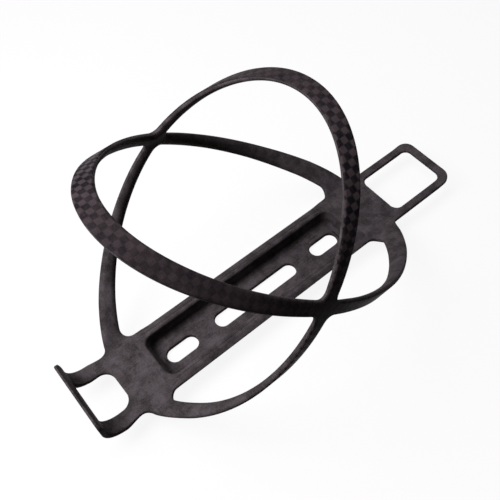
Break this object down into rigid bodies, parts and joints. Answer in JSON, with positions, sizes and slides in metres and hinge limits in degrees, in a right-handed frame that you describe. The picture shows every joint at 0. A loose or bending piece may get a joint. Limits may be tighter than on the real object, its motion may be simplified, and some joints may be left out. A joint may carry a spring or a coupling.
{
  "type": "bicycle water bottle cage",
  "caption": "Carbon fibre bottle cage: pocketed back plate with bolt slots, two crossed loops round the bottle, top tongue and toe shelf.",
  "frame": {"origin": "middle of the two-bolt pattern, on the back face of the pocket floor that meets the frame tube", "axes": "+X along the bottle from its base to its mouth, +Y to the left across the cage with the mouth end ahead, +Z from the frame tube to the bottle"},
  "size_m": [0.1551, 0.0792, 0.0852],
  "materials": {
    "carbon_laminate": "matte unidirectional carbon laminate, bare",
    "carbon_weave": "matte plain-weave carbon cloth under thin clear resin"
  },
  "bodies": {
    "root": {"back_plate": "carbon_laminate", "upper_shoulder": "carbon_laminate", "lower_shoulder": "carbon_laminate", "tongue_loop": "carbon_laminate", "toe_left_strap": "carbon_laminate", "toe_right_strap": "carbon_laminate", "toe_shelf": "carbon_laminate", "upper_left_arm": "carbon_laminate", "upper_right_arm": "carbon_laminate", "lower_left_arm": "carbon_laminate", "lower_right_arm": "carbon_laminate", "left_crossing": "carbon_laminate", "right_crossing": "carbon_laminate", "upper_front_band": "carbon_laminate", "lower_front_band": "carbon_laminate", "upper_left_arm_skin": "carbon_weave", "upper_right_arm_skin": "carbon_weave", "lower_left_arm_skin": "carbon_weave", "lower_right_arm_skin": "carbon_weave", "left_crossing_skin": "carbon_weave", "right_crossing_skin": "carbon_weave", "upper_band_skin": "carbon_weave", "lower_band_skin": "carbon_weave"}
  },
  "joints": []
}
